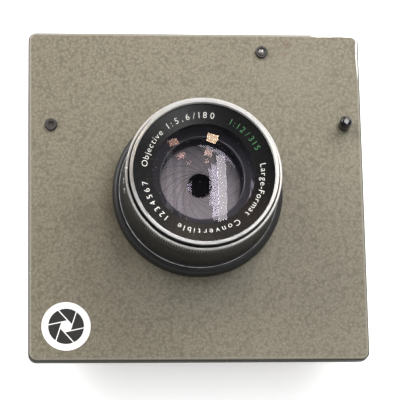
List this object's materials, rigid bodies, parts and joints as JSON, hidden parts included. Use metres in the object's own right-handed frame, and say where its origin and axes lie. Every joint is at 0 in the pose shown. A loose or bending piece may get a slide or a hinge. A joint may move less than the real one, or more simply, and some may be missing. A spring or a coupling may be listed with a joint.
{
  "type": "convertible large-format barrel lens on a lens board",
  "caption": "Large-format lens in a barrel mount with its own iris, knurled aperture ring and removable front cell, screwed through a square hammered-enamel lens board.",
  "frame": {"origin": "on the optical axis, in the plane of the rear rim that the lens stands on", "axes": "+Z along the optical axis, out of the front glass; +X to the board's right and +Y to the board's top, seen from the front with the badge at the lower left"},
  "size_m": [0.14, 0.14, 0.0618],
  "materials": {
    "board_enamel": "grey-brown hammer enamel, worn to bare metal at one corner",
    "badge_white": "white adhesive paper badge",
    "barrel_black": "satin black enamel",
    "name_black": "semi-gloss black lacquer",
    "inner_black": "matt black anti-reflection finish",
    "black_steel": "blackened steel",
    "gloss_black": "gloss black",
    "bright_steel": "plain steel",
    "bright_brass": "plain brass",
    "fibre_black": "black vulcanised fibre",
    "chrome_trim": "satin chrome",
    "white_paint": "white paint filling",
    "blade_steel": "blued spring steel",
    "spacer_black": "black-anodised aluminium, its inner edge rubbed grey",
    "coated_glass": "optical glass with a faint violet coating"
  },
  "bodies": {
    "barrel": {"lens_board": "board_enamel", "board_badge": "badge_white", "left_screw": "black_steel", "top_collar": "black_steel", "top_pin": "bright_steel", "right_post": "gloss_black", "stud_washers": "bright_steel", "stud_nuts": "bright_steel", "mount_flange": "barrel_black", "lock_washer": "fibre_black", "lock_ring": "barrel_black", "iris_barrel": "barrel_black", "ring_keeper": "inner_black", "iris_base_plate": "inner_black", "iris_circlip": "bright_steel", "rear_cell_body": "barrel_black", "rear_meniscus": "coated_glass", "rear_flint_glass": "coated_glass", "rear_crown_glass": "coated_glass", "rear_meniscus_ring": "spacer_black", "rear_retaining_ring": "inner_black"},
    "aperture_ring_body": {"aperture_ring": "barrel_black", "aperture_ring_trim": "chrome_trim", "index_dot": "white_paint", "iris_drive_ring": "inner_black", "drive_fork_a": "bright_brass", "drive_fork_b": "bright_brass", "drive_screws": "bright_steel"},
    "front_cell": {"front_cell_body": "inner_black", "front_rim": "chrome_trim", "name_ring": "name_black", "front_crown_glass": "coated_glass", "front_flint_glass": "coated_glass", "front_meniscus": "coated_glass", "front_spacer": "spacer_black"},
    "blade_01": {"iris_blade_01": "blade_steel"},
    "blade_02": {"iris_blade_02": "blade_steel"},
    "blade_03": {"iris_blade_03": "blade_steel"},
    "blade_04": {"iris_blade_04": "blade_steel"},
    "blade_05": {"iris_blade_05": "blade_steel"},
    "blade_06": {"iris_blade_06": "blade_steel"},
    "blade_07": {"iris_blade_07": "blade_steel"},
    "blade_08": {"iris_blade_08": "blade_steel"},
    "blade_09": {"iris_blade_09": "blade_steel"},
    "blade_10": {"iris_blade_10": "blade_steel"},
    "blade_11": {"iris_blade_11": "blade_steel"},
    "blade_12": {"iris_blade_12": "blade_steel"},
    "blade_13": {"iris_blade_13": "blade_steel"},
    "blade_14": {"iris_blade_14": "blade_steel"},
    "blade_15": {"iris_blade_15": "blade_steel"},
    "blade_16": {"iris_blade_16": "blade_steel"},
    "blade_17": {"iris_blade_17": "blade_steel"},
    "blade_18": {"iris_blade_18": "blade_steel"}
  },
  "joints": [
    {"name": "aperture", "type": "hinge", "parent": "barrel", "child": "aperture_ring_body", "pos_m": [0, 0, 0.054], "axis": [0, 0, 1], "range_deg": [-65, 12]},
    {"name": "front_cell_out", "type": "slide", "parent": "barrel", "child": "front_cell", "axis": [0, 0, 1], "range_m": [0, 0.03]},
    {"name": "blade_01_turn", "type": "hinge", "parent": "barrel", "child": "blade_01", "pos_m": [0.0204, 0, 0.0342], "axis": [0, 0, 1], "range_deg": [-32.6, 6.1]},
    {"name": "blade_02_turn", "type": "hinge", "parent": "barrel", "child": "blade_02", "pos_m": [0.01917, 0.00698, 0.0342], "axis": [0, 0, 1], "range_deg": [-32.6, 6.1]},
    {"name": "blade_03_turn", "type": "hinge", "parent": "barrel", "child": "blade_03", "pos_m": [0.01563, 0.01311, 0.0342], "axis": [0, 0, 1], "range_deg": [-32.6, 6.1]},
    {"name": "blade_04_turn", "type": "hinge", "parent": "barrel", "child": "blade_04", "pos_m": [0.0102, 0.01767, 0.0342], "axis": [0, 0, 1], "range_deg": [-32.6, 6.1]},
    {"name": "blade_05_turn", "type": "hinge", "parent": "barrel", "child": "blade_05", "pos_m": [0.00354, 0.02009, 0.0342], "axis": [0, 0, 1], "range_deg": [-32.6, 6.1]},
    {"name": "blade_06_turn", "type": "hinge", "parent": "barrel", "child": "blade_06", "pos_m": [-0.00354, 0.02009, 0.0342], "axis": [0, 0, 1], "range_deg": [-32.6, 6.1]},
    {"name": "blade_07_turn", "type": "hinge", "parent": "barrel", "child": "blade_07", "pos_m": [-0.0102, 0.01767, 0.0342], "axis": [0, 0, 1], "range_deg": [-32.6, 6.1]},
    {"name": "blade_08_turn", "type": "hinge", "parent": "barrel", "child": "blade_08", "pos_m": [-0.01563, 0.01311, 0.0342], "axis": [0, 0, 1], "range_deg": [-32.6, 6.1]},
    {"name": "blade_09_turn", "type": "hinge", "parent": "barrel", "child": "blade_09", "pos_m": [-0.01917, 0.00698, 0.0342], "axis": [0, 0, 1], "range_deg": [-32.6, 6.1]},
    {"name": "blade_10_turn", "type": "hinge", "parent": "barrel", "child": "blade_10", "pos_m": [-0.0204, 0, 0.0342], "axis": [0, 0, 1], "range_deg": [-32.6, 6.1]},
    {"name": "blade_11_turn", "type": "hinge", "parent": "barrel", "child": "blade_11", "pos_m": [-0.01917, -0.00698, 0.0342], "axis": [0, 0, 1], "range_deg": [-32.6, 6.1]},
    {"name": "blade_12_turn", "type": "hinge", "parent": "barrel", "child": "blade_12", "pos_m": [-0.01563, -0.01311, 0.0342], "axis": [0, 0, 1], "range_deg": [-32.6, 6.1]},
    {"name": "blade_13_turn", "type": "hinge", "parent": "barrel", "child": "blade_13", "pos_m": [-0.0102, -0.01767, 0.0342], "axis": [0, 0, 1], "range_deg": [-32.6, 6.1]},
    {"name": "blade_14_turn", "type": "hinge", "parent": "barrel", "child": "blade_14", "pos_m": [-0.00354, -0.02009, 0.0342], "axis": [0, 0, 1], "range_deg": [-32.6, 6.1]},
    {"name": "blade_15_turn", "type": "hinge", "parent": "barrel", "child": "blade_15", "pos_m": [0.00354, -0.02009, 0.0342], "axis": [0, 0, 1], "range_deg": [-32.6, 6.1]},
    {"name": "blade_16_turn", "type": "hinge", "parent": "barrel", "child": "blade_16", "pos_m": [0.0102, -0.01767, 0.0342], "axis": [0, 0, 1], "range_deg": [-32.6, 6.1]},
    {"name": "blade_17_turn", "type": "hinge", "parent": "barrel", "child": "blade_17", "pos_m": [0.01563, -0.01311, 0.0342], "axis": [0, 0, 1], "range_deg": [-32.6, 6.1]},
    {"name": "blade_18_turn", "type": "hinge", "parent": "barrel", "child": "blade_18", "pos_m": [0.01917, -0.00698, 0.0342], "axis": [0, 0, 1], "range_deg": [-32.6, 6.1]}
  ],
  "couplings": [
    {"joint": "blade_01_turn", "follows": "aperture", "ratio": 0.5},
    {"joint": "blade_02_turn", "follows": "aperture", "ratio": 0.5},
    {"joint": "blade_03_turn", "follows": "aperture", "ratio": 0.5},
    {"joint": "blade_04_turn", "follows": "aperture", "ratio": 0.5},
    {"joint": "blade_05_turn", "follows": "aperture", "ratio": 0.5},
    {"joint": "blade_06_turn", "follows": "aperture", "ratio": 0.5},
    {"joint": "blade_07_turn", "follows": "aperture", "ratio": 0.5},
    {"joint": "blade_08_turn", "follows": "aperture", "ratio": 0.5},
    {"joint": "blade_09_turn", "follows": "aperture", "ratio": 0.5},
    {"joint": "blade_10_turn", "follows": "aperture", "ratio": 0.5},
    {"joint": "blade_11_turn", "follows": "aperture", "ratio": 0.5},
    {"joint": "blade_12_turn", "follows": "aperture", "ratio": 0.5},
    {"joint": "blade_13_turn", "follows": "aperture", "ratio": 0.5},
    {"joint": "blade_14_turn", "follows": "aperture", "ratio": 0.5},
    {"joint": "blade_15_turn", "follows": "aperture", "ratio": 0.5},
    {"joint": "blade_16_turn", "follows": "aperture", "ratio": 0.5},
    {"joint": "blade_17_turn", "follows": "aperture", "ratio": 0.5},
    {"joint": "blade_18_turn", "follows": "aperture", "ratio": 0.5}
  ]
}
